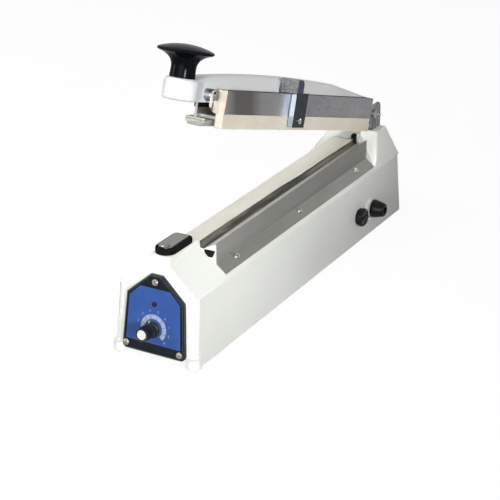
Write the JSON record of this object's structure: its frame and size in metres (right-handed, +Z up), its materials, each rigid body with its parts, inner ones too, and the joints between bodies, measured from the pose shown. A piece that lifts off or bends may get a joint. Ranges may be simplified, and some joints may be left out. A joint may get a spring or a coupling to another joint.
{
  "type": "impulse heat sealer with cutter",
  "caption": "Bench-top impulse heat sealer: long cast base with a heated ridge and timer panel, a sprung press arm with a mushroom handle, and a sliding film cutter.",
  "frame": {"origin": "on the table, in the plane of the four feet, under the middle of the base", "axes": "+X to the machine's right (fuse and cord inlet), +Y to the hinge at the rear, +Z up; drawn with the arm open, as pictured"},
  "size_m": [0.1073, 0.4616, 0.2882],
  "materials": {
    "cast_paint": "satin warm off-white enamel",
    "bright_steel": "brushed stainless sheet",
    "zinc_steel": "bright zinc fasteners",
    "chrome": "polished",
    "brass": "turned",
    "aluminium": "dull extrusion",
    "spring_steel": "oiled wire",
    "core_steel": "varnished laminations",
    "black_plastic": "moulded, slight sheen",
    "dark_grip": "textured",
    "cream_plastic": "cream phenolic",
    "white_plastic": "moulded",
    "blue_film": "printed film",
    "card": "phenolic board",
    "coil_tape": "taped winding",
    "lamp_red": "dark red lens",
    "fuse_glass": "clear tube",
    "black_rubber": "matt",
    "silicone": "grey silicone",
    "ptfe_cloth": "glass cloth with PTFE",
    "board": "insulating board",
    "ribbon": "nichrome ribbon",
    "olive": "dark olive strip"
  },
  "bodies": {
    "base": {"base_housing": "cast_paint", "floor_pan": "zinc_steel", "floor_pan_screws": "zinc_steel", "rubber_feet": "black_rubber", "control_panel": "black_plastic", "panel_label": "blue_film", "panel_screws": "zinc_steel", "timer_potentiometer": "zinc_steel", "potentiometer_nut": "zinc_steel", "indicator_lamp": "lamp_red", "strike_pad": "black_rubber", "strike_plate": "bright_steel", "microswitch": "black_plastic", "microswitch_bracket": "zinc_steel", "element_board": "board", "heating_ribbon": "ribbon", "element_terminals": "brass", "ptfe_cloth": "ptfe_cloth", "groove_bar": "olive", "groove_plug": "black_rubber", "cover_plate": "bright_steel", "cover_plate_screws": "zinc_steel", "fuse_holder": "black_plastic", "glass_fuse": "fuse_glass", "fuse_holder_nut": "black_plastic", "gland_ring": "white_plastic", "cable_gland": "black_rubber", "gland_locknut": "black_plastic", "transformer_core": "core_steel", "transformer_coil": "coil_tape", "transformer_strap": "zinc_steel", "timer_card": "card", "timer_card_spacers": "white_plastic", "timer_card_parts": "black_plastic", "hinge_bracket": "chrome", "hinge_bracket_screws": "zinc_steel", "hinge_pin": "chrome", "hinge_pin_clip": "zinc_steel", "hinge_stay": "zinc_steel", "return_springs": "spring_steel"},
    "knob": {"timer_knob": "black_plastic", "timer_knob_cap": "white_plastic", "timer_shaft": "zinc_steel"},
    "arm": {"press_arm": "cast_paint", "handle_knob": "black_plastic", "handle_stud": "zinc_steel", "rail_standoff": "chrome", "rail_guide_screw": "chrome"},
    "carriage": {"press_bar": "aluminium", "silicone_strip": "silicone", "bar_buffer": "black_rubber", "cutter_rail": "cream_plastic", "rail_cover": "bright_steel", "rail_bridges": "aluminium"},
    "slider": {"slider_bracket": "chrome", "slider_screw": "zinc_steel", "slider_grip": "dark_grip", "cutter_blade": "bright_steel"},
    "button": {"switch_button": "chrome"},
    "fuse_carrier": {"fuse_cap": "black_plastic"}
  },
  "joints": [
    {"name": "arm_hinge", "type": "hinge", "parent": "base", "child": "arm", "pos_m": [0, 0.193, 0.1168], "axis": [1, 0, 0], "range_deg": [0, 19.46], "stiffness_Nm_per_rad": 2.6, "springref_deg": -77.35, "deforming": ["return_springs"]},
    {"name": "carriage_hinge", "type": "hinge", "parent": "base", "child": "carriage", "pos_m": [0, 0.193, 0.1168], "axis": [1, 0, 0], "range_deg": [0, 17.9]},
    {"name": "cutter_slide", "type": "slide", "parent": "carriage", "child": "slider", "axis": [0, -0.9516, 0.3074], "range_m": [-0.142, 0.1178]},
    {"name": "timer_knob_turn", "type": "hinge", "parent": "base", "child": "knob", "pos_m": [0, -0.21637, 0.03349], "axis": [0, 0.9936, -0.1127], "range_deg": [0, 270]},
    {"name": "switch_button_press", "type": "slide", "parent": "base", "child": "button", "axis": [0, 0, -1], "range_m": [0, 0.0012], "stiffness_N_per_m": 400, "springref_m": -0.002},
    {"name": "fuse_cap_turn", "type": "hinge", "parent": "base", "child": "fuse_carrier", "pos_m": [0.04335, 0.113, 0.0305], "axis": [-0.9997, 0, -0.0224], "range_deg": [-90, 0]}
  ],
  "couplings": [
    {"joint": "carriage_hinge", "follows": "arm_hinge", "ratio": 0.9198}
  ]
}
